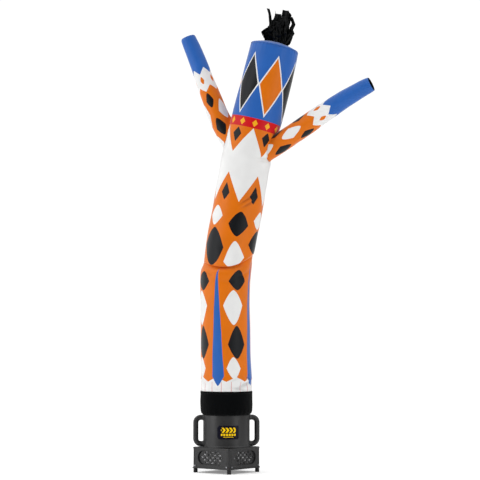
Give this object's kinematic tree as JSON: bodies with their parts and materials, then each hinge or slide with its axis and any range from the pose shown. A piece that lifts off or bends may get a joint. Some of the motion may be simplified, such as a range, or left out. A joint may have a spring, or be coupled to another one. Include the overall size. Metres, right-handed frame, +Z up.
{
  "type": "inflatable air dancer on a blower",
  "caption": "Leaning cloth tube dancer with raised open-ended arms and a streamer tuft, standing on a round fan blower with side handles.",
  "frame": {"origin": "centre of the flat panel under the blower, between its feet", "axes": "+X towards the side that the tube leans to, +Y to the back, away from the blower's label, +Z up, out of the blower"},
  "size_m": [1.1501, 0.4735, 2.7806],
  "materials": {
    "printed_cloth": "woven",
    "crown_cloth": "woven",
    "black_cloth": "woven",
    "streamer_film": "satin",
    "shell": "matte",
    "rubber": "matte",
    "label": "glossy"
  },
  "bodies": {
    "root": {"body_tube": "printed_cloth", "arm_left": "printed_cloth", "arm_right": "printed_cloth", "crown": "crown_cloth", "cuff": "black_cloth", "hair": "streamer_film", "drum": "shell", "handle_left": "shell", "handle_right": "shell", "housing": "shell", "base_plate": "shell", "intake_1": "shell", "intake_2": "shell", "intake_3": "shell", "intake_4": "shell", "foot_1": "rubber", "foot_2": "rubber", "foot_3": "rubber", "foot_4": "rubber", "label_plate": "label"}
  },
  "joints": []
}
